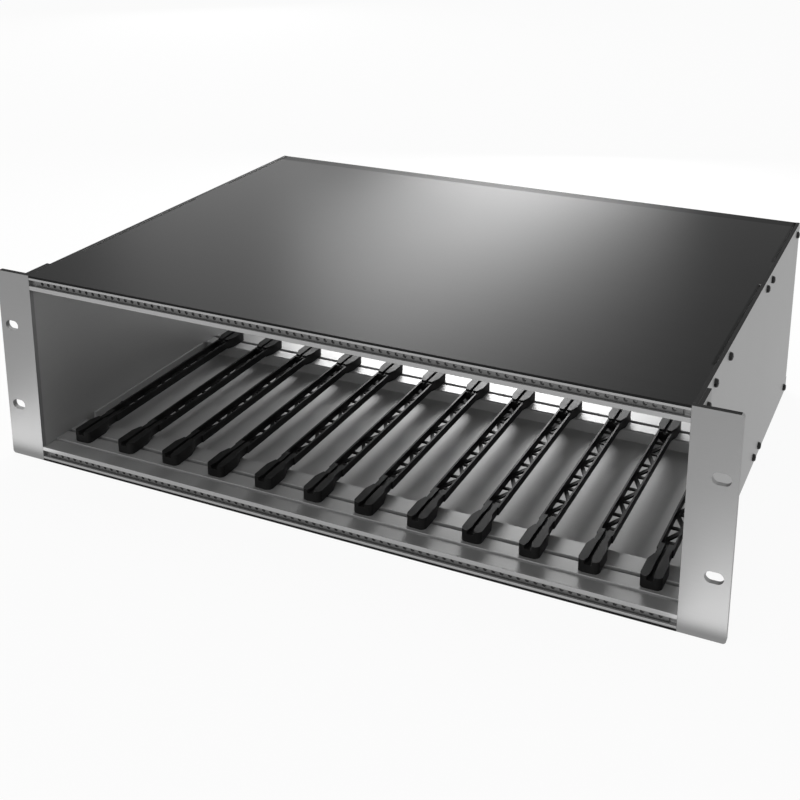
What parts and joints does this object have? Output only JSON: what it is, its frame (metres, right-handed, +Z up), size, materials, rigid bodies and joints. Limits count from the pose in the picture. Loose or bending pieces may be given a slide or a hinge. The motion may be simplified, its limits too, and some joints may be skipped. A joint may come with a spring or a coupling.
{
  "type": "subrack card cage",
  "caption": "Open-fronted rack-mount card cage with side plates, slotted mounting ears, extruded rails, rows of slim board guides and sheet covers above and below.",
  "frame": {"origin": "centre of the footprint on the underside of the bottom cover", "axes": "+X to the right seen from the open front, +Y from the front face to the back, +Z up"},
  "size_m": [0.4826, 0.33, 0.1325],
  "materials": {
    "ear_aluminium": "satin anodised",
    "side_aluminium": "satin anodised",
    "rail_aluminium": "satin extrusion",
    "cover_sheet": "smooth satin sheet",
    "strip_steel": "plated",
    "guide_plastic": "matt moulded",
    "screw_black": "black oxide"
  },
  "bodies": {
    "root": {"bottom_cover": "cover_sheet", "cover_screws_left": "screw_black", "cover_screws_right": "screw_black", "ear_screws_left": "screw_black", "ear_screws_right": "screw_black", "front_rail_bottom": "rail_aluminium", "front_rail_top": "rail_aluminium", "front_strip_bottom": "strip_steel", "front_strip_top": "strip_steel", "guide_lower_01": "guide_plastic", "guide_lower_02": "guide_plastic", "guide_lower_03": "guide_plastic", "guide_lower_04": "guide_plastic", "guide_lower_05": "guide_plastic", "guide_lower_06": "guide_plastic", "guide_lower_07": "guide_plastic", "guide_lower_08": "guide_plastic", "guide_lower_09": "guide_plastic", "guide_lower_10": "guide_plastic", "guide_lower_11": "guide_plastic", "guide_lower_12": "guide_plastic", "guide_upper_01": "guide_plastic", "guide_upper_02": "guide_plastic", "guide_upper_03": "guide_plastic", "guide_upper_04": "guide_plastic", "guide_upper_05": "guide_plastic", "guide_upper_06": "guide_plastic", "guide_upper_07": "guide_plastic", "guide_upper_08": "guide_plastic", "guide_upper_09": "guide_plastic", "guide_upper_10": "guide_plastic", "guide_upper_11": "guide_plastic", "guide_upper_12": "guide_plastic", "mounting_ear_left": "ear_aluminium", "mounting_ear_right": "ear_aluminium", "rail_screws_left": "screw_black", "rail_screws_right": "screw_black", "rear_rail_bottom": "rail_aluminium", "rear_rail_top": "rail_aluminium", "rear_strip_bottom": "strip_steel", "rear_strip_top": "strip_steel", "side_plate_left": "side_aluminium", "side_plate_right": "side_aluminium", "top_cover": "cover_sheet"}
  },
  "joints": []
}
